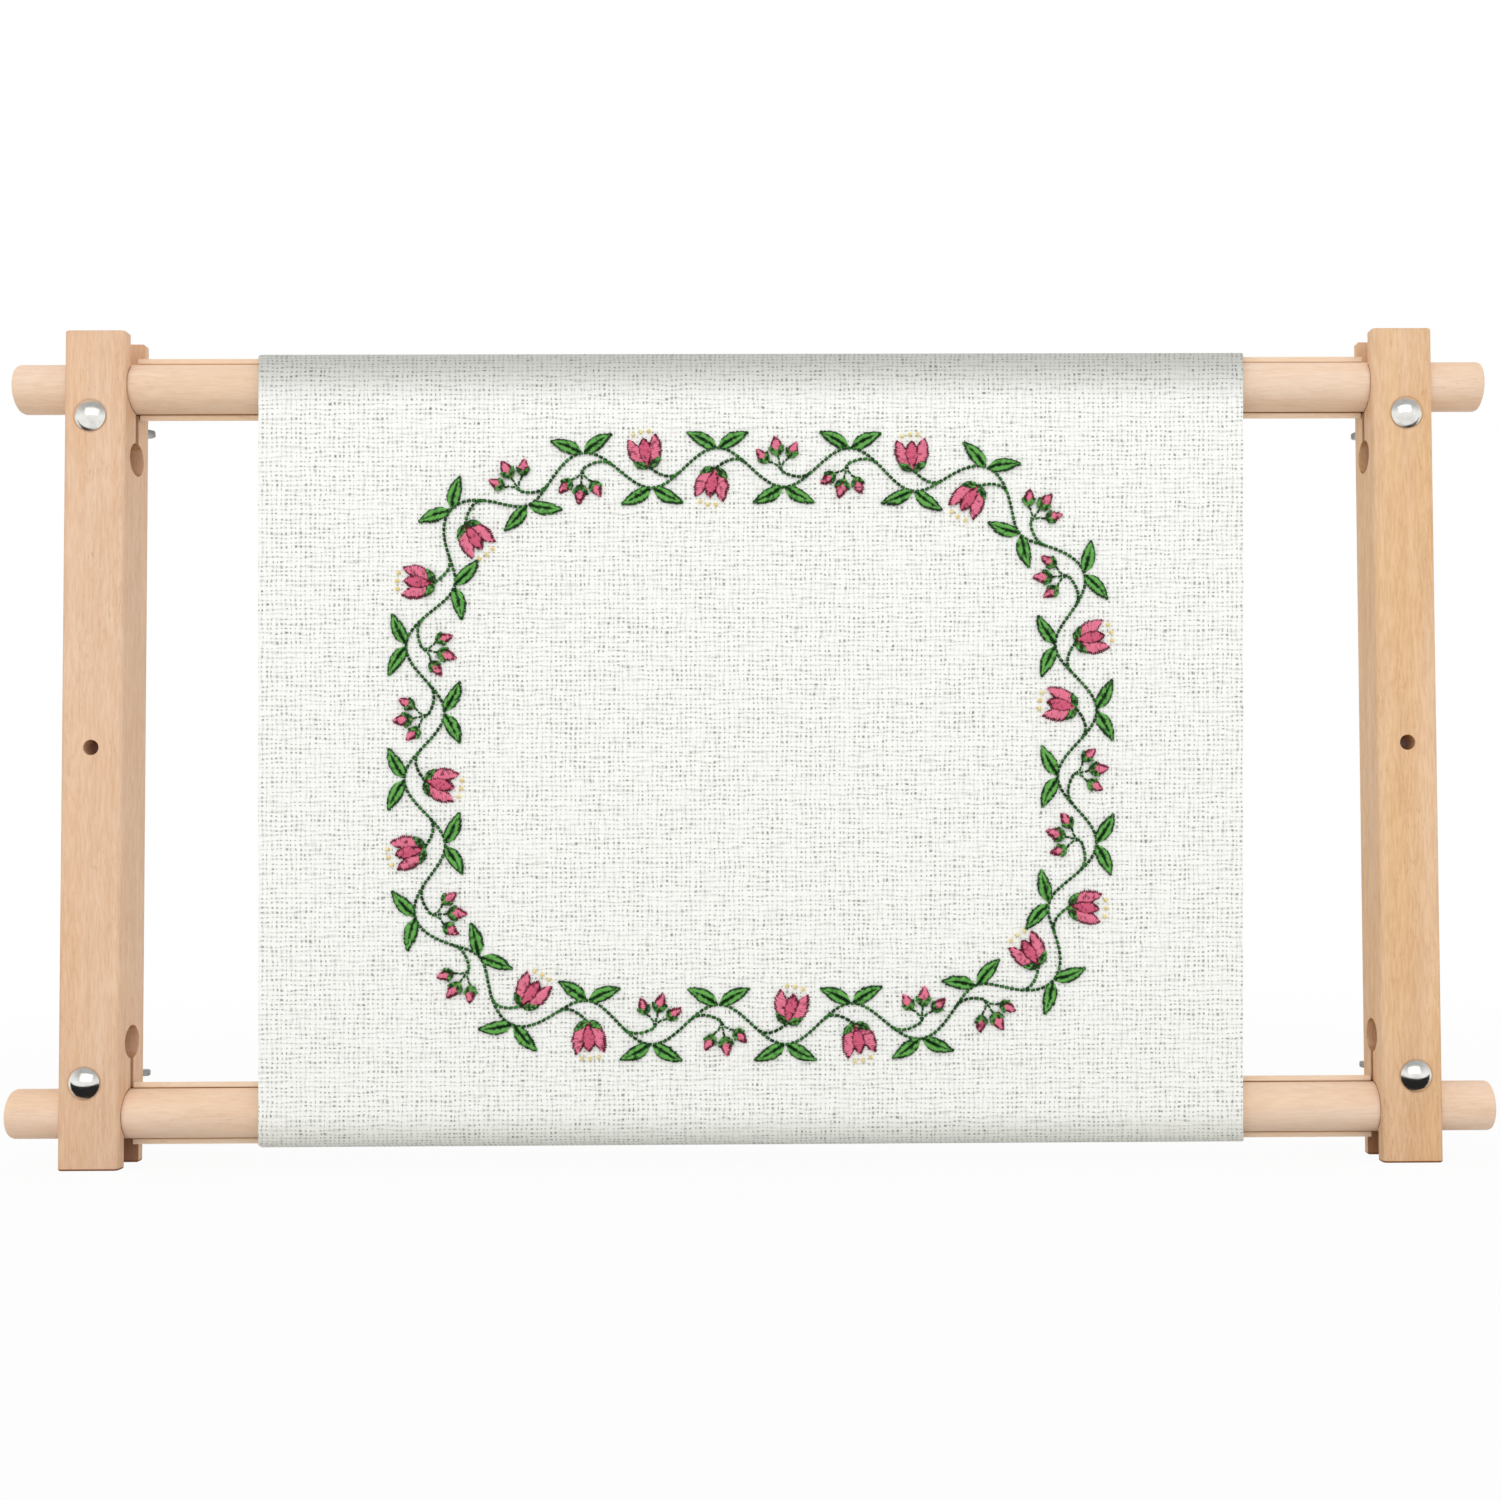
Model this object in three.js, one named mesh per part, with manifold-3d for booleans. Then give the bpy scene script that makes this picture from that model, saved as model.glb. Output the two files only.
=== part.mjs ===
// Embroidery scroll frame: two side bars clamp two rollers, and a cloth is stretched between them.
// Units are millimetres. X runs along the rollers, Y from front to back, Z up.
// The origin is the centre of the bounding box's bottom face, so the frame stands on its bars' ends.

import * as THREE from 'three';
import { mergeVertices } from 'three/addons/utils/BufferGeometryUtils.js';
import Module from 'manifold-3d';

const wasm = await Module();
wasm.setup();

// Driving dimensions

const rollerLength = 600;
const rollerSpacing = 296;
const rollerDiameter = 20;
const rollerProjection = 22.8;
const rollerEndRound = 1.3;

const barWidth = 24.5;
const barDepth = 25;
const barEdgeRound = 2;
const barEndEase = 0.5;
const barEndReach = 21;

const boreClearance = 0.25;
const endSlotWidth = 14;
const kerfWidth = 2.2;
const reliefDiameter = 13.5;
const reliefToMiddle = 6;
const standHoleDiameter = 6.2;

const boltDiameter = 5;
const boltLength = 35;
const boltTipChamfer = 0.6;
const boltHoleClearance = 0.25;
const boltOutset = 1.5;
const boreToBoltHole = 0.8;
const boltToRelief = 15.2;
const headDiameter = 12.6;
const headHeight = 3.3;
const headRim = 0.35;
const neckDepth = 2.8;
const neckClearance = 0.15;

const washerDiameter = 15;
const washerThickness = 1.2;
const washerHoleClearance = 0.15;
const washerEdgeRound = 0.25;

const nutThreadClearance = 0.15;
const nutBaseDiameter = 9.6;
const nutTopDiameter = 7.6;
const nutBarrelHeight = 6.4;
const nutRim = 0.8;
const wingSpan = 23.4;
const wingHeight = 12.2;
const wingThickness = 2.6;
const wingEdgeRound = 0.6;
const wingTipRadius = 2.8;

const clipClearance = 0.3;
const clipWall = 2.2;
const clipEndGap = 0.7;

const clothThickness = 0.5;
const clothSideGap = 54.7;
const woundGap = 0.15;
const turnGap = 0.25;

const seatGap = 0.1;
const cutOverrun = 3;

// Angles in degrees, and shares

const topClipTurn = 6;
const bottomClipTurn = 0;
const clothTurnSweep = 325;
const wingLowShare = 0.1;
const wingSaddleShare = 0.9;
const wingSweepShares = { lowAlong: 0.72, lowUp: 0.2, highAlong: 0.5, highUp: 0.62 };
const wingTipArc = { from: -25, to: 128 };
const nutTurns = { left_top: -8, left_bottom: 2, right_top: -4, right_bottom: 1 };

// Facets

const roundFacets = 60;
const holeFacets = 40;
const smallFacets = 24;
const headFacets = 36;
const clipFacets = 16;
const turnFacets = 30;
const cornerFacets = 2;
const domeRings = 6;
const wingFacets = 4;

// Sizes that follow from the driving dimensions

const rollerRadius = rollerDiameter / 2;
const barGap = rollerLength - 2 * barWidth - 2 * rollerProjection;
const barLength = rollerSpacing + 2 * barEndReach;
const barCentreX = (barGap + barWidth) / 2;
const rollerZ = rollerSpacing / 2;

const boreRadius = rollerRadius + boreClearance;
const boltRadius = boltDiameter / 2;
const boltHoleRadius = boltRadius + boltHoleClearance;
const boltZ = rollerZ - boreRadius - boreToBoltHole - boltHoleRadius;
const reliefZ = boltZ - boltToRelief;
const middleReach = reliefZ - reliefDiameter / 2 - reliefToMiddle;

const washerFront = barDepth / 2 + seatGap;
const nutFront = washerFront + washerThickness + seatGap;
const hardwareBack = nutFront + wingHeight;
const boltTip = boltLength - barDepth / 2 - seatGap;

const clipInnerRadius = rollerRadius + clipClearance;
const clipOuterRadius = clipInnerRadius + clipWall;
const clipLength = barGap - 2 * clipEndGap;

const clothWidth = barGap - 2 * clothSideGap;
const turnInnerRadius = clipOuterRadius + woundGap + clothThickness + turnGap;
const turnOuterRadius = turnInnerRadius + clothThickness;

const frontReach = Math.max(barDepth / 2 + seatGap + headHeight, turnOuterRadius);
const backReach = Math.max(hardwareBack, boltTip, turnOuterRadius);
const axisY = (frontReach - backReach) / 2;

// Materials

function finish(color, roughness, metalness) {
  return new THREE.MeshStandardMaterial({ color, roughness, metalness, flatShading: true });
}

const paleBeech = finish(0xf0d2b6, 0.6, 0);
const beechLeft = finish(0xe5c3a0, 0.6, 0);
const beechRight = finish(0xdeb084, 0.6, 0);
const clipWood = finish(0xf5cb9b, 0.55, 0);
const clothWhite = finish(0xf4f6f2, 0.95, 0);
const nickel = finish(0xd6d6d2, 0.22, 1);

// Solids and their booleans

function solidOf(geometry) {
  const bare = geometry.clone();
  bare.deleteAttribute('normal');
  bare.deleteAttribute('uv');
  const merged = mergeVertices(bare);
  const corners = merged.index.array;
  const kept = [];
  for (let i = 0; i < corners.length; i += 3) {
    const [a, b, c] = corners.slice(i, i + 3);
    if (a !== b && b !== c && c !== a) {
      kept.push(a, b, c);
    }
  }
  const vertProperties = new Float32Array(merged.attributes.position.array);
  return new wasm.Manifold(new wasm.Mesh({ numProp: 3, vertProperties, triVerts: new Uint32Array(kept) }));
}

function geometryOf(solid) {
  const mesh = solid.getMesh();
  const geometry = new THREE.BufferGeometry();
  geometry.setAttribute('position', new THREE.BufferAttribute(new Float32Array(mesh.vertProperties), 3));
  geometry.setIndex(new THREE.BufferAttribute(new Uint32Array(mesh.triVerts), 1));
  geometry.computeVertexNormals();
  return geometry;
}

function piece(name, geometry, material) {
  const mesh = new THREE.Mesh(geometryOf(solidOf(geometry)), material);
  mesh.name = name;
  return mesh;
}

// A shape drawn in (Y, Z) and extruded along +Z comes to lie along X, centred
function layAlongX(geometry, length) {
  const yAxis = new THREE.Vector3(0, 1, 0);
  const zAxis = new THREE.Vector3(0, 0, 1);
  const xAxis = new THREE.Vector3(1, 0, 0);
  geometry.translate(0, 0, -length / 2);
  return geometry.applyMatrix4(new THREE.Matrix4().makeBasis(yAxis, zAxis, xAxis));
}

function rodAlongX(radius, length, facets) {
  return new THREE.CylinderGeometry(radius, radius, length, facets).rotateZ(-Math.PI / 2);
}

function rodAlongY(radius, length, facets) {
  return new THREE.CylinderGeometry(radius, radius, length, facets);
}

// Points of a lathe profile along an arc, about a centre, from one angle to another
function arcPoints(centreX, centreY, radius, fromAngle, toAngle, steps) {
  const points = [];
  for (let i = 0; i <= steps; i += 1) {
    const angle = fromAngle + (toAngle - fromAngle) * (i / steps);
    points.push(new THREE.Vector2(centreX + radius * Math.cos(angle), centreY + radius * Math.sin(angle)));
  }
  return points;
}

// Side bar: rounded long edges, and at each end a bored clamp that is open to the bar's end

function barOutline() {
  const halfWidth = barWidth / 2;
  const halfDepth = barDepth / 2;
  const inX = halfWidth - barEdgeRound;
  const inY = halfDepth - barEdgeRound;
  const outline = new THREE.Shape();
  outline.moveTo(inX, -halfDepth);
  outline.absarc(inX, -inY, barEdgeRound, -Math.PI / 2, 0);
  outline.absarc(inX, inY, barEdgeRound, 0, Math.PI / 2);
  outline.absarc(-inX, inY, barEdgeRound, Math.PI / 2, Math.PI);
  outline.absarc(-inX, -inY, barEdgeRound, Math.PI, 1.5 * Math.PI);
  return outline;
}

function barBlank() {
  const blank = new THREE.ExtrudeGeometry(barOutline(), {
    depth: barLength - 2 * barEndEase,
    bevelEnabled: true,
    bevelThickness: barEndEase,
    bevelSize: barEndEase,
    bevelOffset: -barEndEase,
    bevelSegments: 1,
    curveSegments: cornerFacets,
  });
  return blank.translate(0, 0, barEndEase - barLength / 2);
}

// The bolts sit a little nearer the frame's outer side than the bar's middle
function clampCuts(side, end) {
  const throughX = barWidth + 2 * cutOverrun;
  const throughY = barDepth + 2 * cutOverrun;
  const bore = rodAlongX(boreRadius, throughX, roundFacets).translate(0, 0, end * rollerZ);
  const slotLength = barEndReach + cutOverrun;
  const slot = new THREE.BoxGeometry(throughX, endSlotWidth, slotLength);
  slot.translate(0, 0, end * (rollerZ + slotLength / 2));
  const kerf = new THREE.BoxGeometry(throughX, kerfWidth, rollerZ - reliefZ);
  kerf.translate(0, 0, end * (rollerZ + reliefZ) / 2);
  const relief = rodAlongX(reliefDiameter / 2, throughX, holeFacets).translate(0, 0, end * reliefZ);
  const boltHole = rodAlongY(boltHoleRadius, throughY, smallFacets);
  boltHole.translate(side * boltOutset, 0, end * boltZ);
  const socketSide = boltDiameter + 2 * neckClearance;
  const socketDepth = neckDepth + neckClearance;
  const socket = new THREE.BoxGeometry(socketSide, socketDepth + cutOverrun, socketSide);
  socket.translate(side * boltOutset, (socketDepth - cutOverrun - barDepth) / 2, end * boltZ);
  return [bore, slot, kerf, relief, boltHole, socket];
}

function clampSpace(end) {
  const spaceX = barWidth + 2 * cutOverrun;
  const spaceY = barDepth + 2 * cutOverrun;
  const spaceLength = barLength / 2 + cutOverrun - middleReach;
  const space = new THREE.BoxGeometry(spaceX, spaceY, spaceLength);
  return space.translate(0, 0, end * (middleReach + spaceLength / 2));
}

// Both ends are cut off the blank, bored and sawn, and joined to the middle again,
// so that no facet of a long face runs from one clamp to the stand hole
function sideBarGeometry(side) {
  const throughY = barDepth + 2 * cutOverrun;
  const standHole = rodAlongY(standHoleDiameter / 2, throughY, smallFacets);
  let bar = solidOf(barBlank()).subtract(solidOf(standHole));
  for (const end of [1, -1]) {
    const space = solidOf(clampSpace(end));
    let clamp = bar.intersect(space);
    for (const cut of clampCuts(side, end)) {
      clamp = clamp.subtract(solidOf(cut));
    }
    bar = bar.subtract(space).add(clamp);
  }
  return geometryOf(bar);
}

// Roller: a dowel with eased ends

function rollerGeometry() {
  const halfLength = rollerLength / 2;
  const edgeX = rollerRadius - rollerEndRound;
  const edgeY = halfLength - rollerEndRound;
  const profile = [
    new THREE.Vector2(0, -halfLength),
    ...arcPoints(edgeX, -edgeY, rollerEndRound, -Math.PI / 2, 0, cornerFacets),
    ...arcPoints(edgeX, edgeY, rollerEndRound, 0, Math.PI / 2, cornerFacets),
    new THREE.Vector2(0, halfLength),
  ];
  return new THREE.LatheGeometry(profile, roundFacets).rotateZ(-Math.PI / 2);
}

// Clip: a half pipe that presses the cloth's edge against the back of the roller

function clipGeometry() {
  const outline = new THREE.Shape();
  outline.moveTo(0, -clipOuterRadius);
  outline.absarc(0, 0, clipOuterRadius, -Math.PI / 2, Math.PI / 2, false);
  outline.lineTo(0, clipInnerRadius);
  outline.absarc(0, 0, clipInnerRadius, Math.PI / 2, -Math.PI / 2, true);
  const clip = new THREE.ExtrudeGeometry(outline, {
    depth: clipLength,
    bevelEnabled: false,
    curveSegments: clipFacets,
  });
  return layAlongX(clip, clipLength);
}

// Taut loop round roller and clip: it leaves each clip edge in a straight line to the roller
function wrapPath(path, gap) {
  const overClip = clipOuterRadius + gap;
  const overRoller = rollerRadius + gap;
  const touchAngle = Math.PI / 2 + Math.acos(overRoller / overClip);
  path.absarc(0, 0, overClip, -Math.PI / 2, Math.PI / 2, false);
  path.absarc(0, 0, overRoller, touchAngle, 2 * Math.PI - touchAngle, false);
  return path;
}

function woundClothGeometry() {
  const outline = wrapPath(new THREE.Shape(), woundGap + clothThickness);
  outline.holes.push(wrapPath(new THREE.Path(), woundGap));
  const wound = new THREE.ExtrudeGeometry(outline, {
    depth: clothWidth,
    bevelEnabled: false,
    curveSegments: clipFacets,
  });
  return layAlongX(wound, clothWidth);
}

// Cloth: a flat panel in front, carried over the top roller and under the bottom one

function clothGeometry() {
  const sweep = THREE.MathUtils.degToRad(clothTurnSweep);
  const outline = new THREE.Shape();
  outline.moveTo(-turnOuterRadius, -rollerZ);
  outline.absarc(0, rollerZ, turnOuterRadius, Math.PI, Math.PI - sweep, true);
  outline.absarc(0, rollerZ, turnInnerRadius, Math.PI - sweep, Math.PI, false);
  outline.absarc(0, -rollerZ, turnInnerRadius, Math.PI, Math.PI + sweep, false);
  outline.absarc(0, -rollerZ, turnOuterRadius, Math.PI + sweep, Math.PI, true);
  const cloth = new THREE.ExtrudeGeometry(outline, {
    depth: clothWidth,
    bevelEnabled: false,
    curveSegments: turnFacets,
  });
  return layAlongX(cloth, clothWidth);
}

// Carriage bolt: a low dome, a square neck that bites the wood, and a shank to the back

function carriageBoltGeometry() {
  const headRadius = headDiameter / 2;
  const domeHeight = headHeight - headRim;
  const domeRadius = (headRadius ** 2 + domeHeight ** 2) / (2 * domeHeight);
  const domeAngle = Math.asin(headRadius / domeRadius);
  const quarter = Math.PI / 2;
  const profile = [
    ...arcPoints(0, domeRadius - headHeight, domeRadius, -quarter, domeAngle - quarter, domeRings),
    new THREE.Vector2(headRadius, 0),
    new THREE.Vector2(boltRadius, 0),
    new THREE.Vector2(boltRadius, boltLength - boltTipChamfer),
    new THREE.Vector2(boltRadius - boltTipChamfer, boltLength),
    new THREE.Vector2(0, boltLength),
  ];
  const turned = solidOf(new THREE.LatheGeometry(profile, headFacets));
  const neckLength = neckDepth + headRim / 2;
  const neck = new THREE.BoxGeometry(boltDiameter, neckLength, boltDiameter);
  neck.translate(0, neckLength / 2 - headRim / 2, 0);
  return geometryOf(turned.add(solidOf(neck)));
}

// Washer: a flat ring with slightly rounded outer edges

function washerGeometry() {
  const outer = washerDiameter / 2;
  const inner = boltRadius + washerHoleClearance;
  const inX = outer - washerEdgeRound;
  const profile = [
    new THREE.Vector2(inner, 0),
    ...arcPoints(inX, washerEdgeRound, washerEdgeRound, -Math.PI / 2, 0, cornerFacets),
    ...arcPoints(inX, washerThickness - washerEdgeRound, washerEdgeRound, 0, Math.PI / 2, cornerFacets),
    new THREE.Vector2(inner, washerThickness),
    new THREE.Vector2(inner, 0),
  ];
  return new THREE.LatheGeometry(profile, smallFacets);
}

// Wing nut: a tapered barrel with two swept wings, drawn in (X, Y) with the bolt along +Y

function wingOutline() {
  const tipX = wingSpan / 2 - wingTipRadius;
  const tipY = wingHeight - wingTipRadius;
  const low = wingLowShare * wingHeight;
  const saddle = wingSaddleShare * nutBarrelHeight;
  const from = THREE.MathUtils.degToRad(wingTipArc.from);
  const to = THREE.MathUtils.degToRad(wingTipArc.to);
  const lowX = tipX + wingTipRadius * Math.cos(from);
  const lowY = tipY + wingTipRadius * Math.sin(from);
  const outline = new THREE.Shape();
  outline.moveTo(0, low);
  outline.lineTo(nutBaseDiameter / 2, low);
  outline.quadraticCurveTo(
    wingSweepShares.lowAlong * wingSpan / 2,
    wingSweepShares.lowUp * wingHeight,
    lowX,
    lowY,
  );
  outline.absarc(tipX, tipY, wingTipRadius, from, to, false);
  outline.quadraticCurveTo(
    wingSweepShares.highAlong * wingSpan / 2,
    wingSweepShares.highUp * wingHeight,
    nutTopDiameter / 2,
    saddle,
  );
  outline.lineTo(0, saddle);
  return outline;
}

function wingNutGeometry() {
  const barrelProfile = [
    new THREE.Vector2(0, 0),
    new THREE.Vector2(nutBaseDiameter / 2, 0),
    new THREE.Vector2(nutBaseDiameter / 2, nutRim),
    new THREE.Vector2(nutTopDiameter / 2, nutBarrelHeight),
    new THREE.Vector2(0, nutBarrelHeight),
  ];
  const barrel = solidOf(new THREE.LatheGeometry(barrelProfile, smallFacets));
  const wing = new THREE.ExtrudeGeometry(wingOutline(), {
    depth: wingThickness - 2 * wingEdgeRound,
    bevelEnabled: true,
    bevelThickness: wingEdgeRound,
    bevelSize: wingEdgeRound,
    bevelOffset: -wingEdgeRound,
    bevelSegments: 2,
    curveSegments: wingFacets,
  });
  wing.translate(0, 0, wingEdgeRound - wingThickness / 2);
  const rightWing = solidOf(wing);
  const leftWing = solidOf(wing.clone().rotateY(Math.PI));
  const threadLength = wingHeight + 2 * cutOverrun;
  const thread = rodAlongY(boltRadius + nutThreadClearance, threadLength, smallFacets);
  thread.translate(0, wingHeight / 2, 0);
  return geometryOf(barrel.add(rightWing).add(leftWing).subtract(solidOf(thread)));
}

// Assembly, with the point midway between the roller axes at the frame group's origin

const scrollFrame = new THREE.Group();
const frame = new THREE.Group();
frame.position.set(0, axisY, barLength / 2);
scrollFrame.add(frame);

const boltGeometry = carriageBoltGeometry();
const ringGeometry = washerGeometry();
const nutGeometry = wingNutGeometry();

const sides = [
  { name: 'left', sign: -1, wood: beechLeft },
  { name: 'right', sign: 1, wood: beechRight },
];
const ends = [
  { name: 'top', sign: 1, clipTurn: topClipTurn },
  { name: 'bottom', sign: -1, clipTurn: bottomClipTurn },
];

for (const side of sides) {
  const bar = piece(`side_bar_${side.name}`, sideBarGeometry(side.sign), side.wood);
  bar.position.x = side.sign * barCentreX;
  frame.add(bar);
  for (const end of ends) {
    const corner = `${side.name}_${end.name}`;
    const clamp = new THREE.Group();
    clamp.position.set(side.sign * (barCentreX + boltOutset), 0, end.sign * boltZ);
    const bolt = piece(`carriage_bolt_${corner}`, boltGeometry, nickel);
    bolt.position.y = -barDepth / 2 - seatGap;
    const washer = piece(`washer_${corner}`, ringGeometry, nickel);
    washer.position.y = washerFront;
    const nut = piece(`wing_nut_${corner}`, nutGeometry, nickel);
    nut.position.y = nutFront;
    nut.rotation.y = THREE.MathUtils.degToRad(nutTurns[corner]);
    clamp.add(bolt, washer, nut);
    frame.add(clamp);
  }
}

for (const end of ends) {
  const turning = new THREE.Group();
  turning.position.z = end.sign * rollerZ;
  turning.rotation.x = THREE.MathUtils.degToRad(end.clipTurn);
  turning.add(piece(`roller_${end.name}`, rollerGeometry(), paleBeech));
  turning.add(piece(`clip_${end.name}`, clipGeometry(), clipWood));
  turning.add(piece(`cloth_wound_${end.name}`, woundClothGeometry(), clothWhite));
  frame.add(turning);
}

frame.add(piece('cloth', clothGeometry(), clothWhite));

export default scrollFrame;
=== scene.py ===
import math

import bpy
import numpy as np
from mathutils import Matrix, Vector


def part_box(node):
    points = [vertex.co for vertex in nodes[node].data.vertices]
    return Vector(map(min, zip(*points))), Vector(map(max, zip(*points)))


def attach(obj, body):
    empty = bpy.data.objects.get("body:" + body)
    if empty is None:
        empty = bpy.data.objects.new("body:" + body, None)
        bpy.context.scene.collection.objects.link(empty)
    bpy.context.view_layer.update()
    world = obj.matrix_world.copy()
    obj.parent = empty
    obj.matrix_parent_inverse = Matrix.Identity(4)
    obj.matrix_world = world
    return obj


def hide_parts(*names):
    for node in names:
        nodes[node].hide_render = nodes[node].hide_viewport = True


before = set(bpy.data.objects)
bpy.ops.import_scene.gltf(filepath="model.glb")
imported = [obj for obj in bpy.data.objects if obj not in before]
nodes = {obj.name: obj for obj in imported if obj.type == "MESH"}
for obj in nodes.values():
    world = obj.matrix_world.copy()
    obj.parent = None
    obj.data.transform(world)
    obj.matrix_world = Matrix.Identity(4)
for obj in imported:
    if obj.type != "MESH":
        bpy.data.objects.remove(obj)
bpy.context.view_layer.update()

# The looks of an embroidery scroll frame. Metres, +Z up, +Y to the back.

MM = 0.001

# Places taken from the frame

SIDES = ("left", "right")
ENDS = ("top", "bottom")
cloth_low, cloth_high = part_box("cloth")
bar_low, bar_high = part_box("side_bar_right")
bolt_low, bolt_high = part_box("carriage_bolt_right_top")


def axis_of(end):
    """(y, z) of a roller's axis."""
    low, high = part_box(f"roller_{end}")
    return (low.y + high.y) / 2, (low.z + high.z) / 2


AXES = {end: axis_of(end) for end in ENDS}
AXIS_Y = AXES["top"][0]
MIDDLE_Z = (AXES["top"][1] + AXES["bottom"][1]) / 2
ROLLER_RISE = AXES["top"][1] - MIDDLE_Z
ROLLER_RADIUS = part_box("roller_top")[1].y - AXIS_Y
CLIP_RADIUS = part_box("clip_bottom")[1].y - AXIS_Y
BAR_X = (bar_low.x + bar_high.x) / 2
BOLT_X = (bolt_low.x + bolt_high.x) / 2
BOLT_RISE = (bolt_low.z + bolt_high.z) / 2 - MIDDLE_Z
HEAD_RADIUS = (bolt_high.x - bolt_low.x) / 2
CLOTH_HALF_WIDTH = cloth_high.x
CLOTH_FRONT = cloth_low.y
TURN_RADIUS = AXIS_Y - CLOTH_FRONT

# Camera, at the photograph's viewing angle

PHOTO_SIZE = 1500
FOCAL_PIXELS = 1677.24
CENTRE_PIXEL = (855.24, 803.21)
SENSOR_WIDTH = 36
CAMERA_PLACE = Vector((35.5 * MM, -692.2 * MM, MIDDLE_Z - 44.1 * MM))
PITCH, YAW, ROLL = -0.0302, 0.0091, -0.0046
CLIP_NEAR = 10 * MM
CLIP_FAR = 20


def make_camera():
    data = bpy.data.cameras.new("camera")
    data.sensor_width = SENSOR_WIDTH
    data.lens = FOCAL_PIXELS / PHOTO_SIZE * SENSOR_WIDTH
    data.shift_x = 0.5 - CENTRE_PIXEL[0] / PHOTO_SIZE
    data.shift_y = CENTRE_PIXEL[1] / PHOTO_SIZE - 0.5
    data.clip_start = CLIP_NEAR
    data.clip_end = CLIP_FAR
    camera = bpy.data.objects.new("camera", data)
    roll = Matrix.Rotation(ROLL, 3, "Y")
    pitch = Matrix.Rotation(PITCH, 3, "X")
    yaw = Matrix.Rotation(YAW, 3, "Z")
    towards = (roll @ pitch @ yaw).transposed().to_4x4()
    upright = Matrix.Rotation(math.pi / 2, 4, "X")
    camera.matrix_world = Matrix.Translation(CAMERA_PLACE) @ towards @ upright
    bpy.context.scene.collection.objects.link(camera)
    bpy.context.scene.camera = camera


make_camera()

# Node trees


def colour(red, green, blue):
    """A colour as seen on screen, 0 to 255, in the linear values that the shaders use."""
    shares = [channel / 255 for channel in (red, green, blue)]
    linear = [s / 12.92 if s <= 0.04045 else ((s + 0.055) / 1.055) ** 2.4 for s in shares]
    return (*linear, 1.0)


class Finish:
    """One material's nodes. A value may be a number, a colour or another node's output."""

    def __init__(self, name):
        self.material = bpy.data.materials.new(name)
        self.material.use_nodes = True
        self.tree = self.material.node_tree
        self.tree.nodes.clear()
        self.shader = self.node("ShaderNodeBsdfPrincipled")
        self.output = self.node("ShaderNodeOutputMaterial")
        self.tree.links.new(self.shader.outputs["BSDF"], self.output.inputs["Surface"])

    def node(self, kind, **settings):
        made = self.tree.nodes.new(kind)
        for key, value in settings.items():
            setattr(made, key, value)
        return made

    def put(self, socket, value):
        if isinstance(value, bpy.types.NodeSocket):
            self.tree.links.new(value, socket)
        else:
            socket.default_value = value

    def math(self, operation, *values):
        made = self.node("ShaderNodeMath", operation=operation)
        for socket, value in zip(made.inputs, values):
            self.put(socket, value)
        return made.outputs["Value"]

    def product(self, first, *others):
        for other in others:
            first = self.math("MULTIPLY", first, other)
        return first

    def length(self, first, second):
        squares = self.math("MULTIPLY_ADD", first, first, self.math("MULTIPLY", second, second))
        return self.math("SQRT", squares)

    def fade(self, value, start, end, low=0.0, high=1.0):
        """Low before start and high after end, with a smooth step between them."""
        made = self.node("ShaderNodeMapRange", interpolation_type="SMOOTHSTEP", clamp=True)
        given = {"Value": value, "From Min": start, "From Max": end, "To Min": low, "To Max": high}
        for name, number in given.items():
            self.put(made.inputs[name], number)
        return made.outputs["Result"]

    def mix(self, share, first, second, blend="MIX"):
        made = self.node("ShaderNodeMix", data_type="RGBA", blend_type=blend)
        self.put(made.inputs["Factor"], share)
        self.put(made.inputs["A"], first)
        self.put(made.inputs["B"], second)
        return made.outputs["Result"]

    def tinted(self, share, shade, tint):
        """The shade times a tint, by a share."""
        return self.mix(share, shade, colour(*tint), "MULTIPLY")

    def scaled(self, vector, factors, shift=(0, 0, 0)):
        made = self.node("ShaderNodeVectorMath", operation="MULTIPLY_ADD")
        self.put(made.inputs[0], vector)
        self.put(made.inputs[1], factors)
        self.put(made.inputs[2], shift)
        return made.outputs["Vector"]

    def noise(self, vector, detail=2.0):
        made = self.node("ShaderNodeTexNoise")
        for name, value in {"Vector": vector, "Scale": 1.0, "Detail": detail}.items():
            self.put(made.inputs[name], value)
        return made.outputs["Fac"]

    def combined(self, *values):
        made = self.node("ShaderNodeCombineXYZ")
        for socket, value in zip(made.inputs, values):
            self.put(socket, value)
        return made.outputs["Vector"]

    def separated(self, vector):
        made = self.node("ShaderNodeSeparateXYZ")
        self.put(made.inputs["Vector"], vector)
        return made.outputs["X"], made.outputs["Y"], made.outputs["Z"]

    def object_place(self):
        return self.node("ShaderNodeTexCoord").outputs["Object"]

    def object_normal(self):
        return self.node("ShaderNodeTexCoord").outputs["Normal"]

    def uv(self, name):
        return self.node("ShaderNodeUVMap", uv_map=name).outputs["UV"]

    def bump(self, height, distance):
        made = self.node("ShaderNodeBump")
        self.put(made.inputs["Distance"], distance)
        self.put(made.inputs["Height"], height)
        self.put(self.shader.inputs["Normal"], made.outputs["Normal"])

    def set(self, **values):
        for name, value in values.items():
            self.put(self.shader.inputs[name.replace("_", " ")], value)
        return self.material


# Wood: faint growth rings round a pith outside the piece, soft streaks and blotches,
# and short dark flecks along the grain. The sizes of its layers of noise are across and
# along the grain, and a shift keeps two layers apart.

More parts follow.
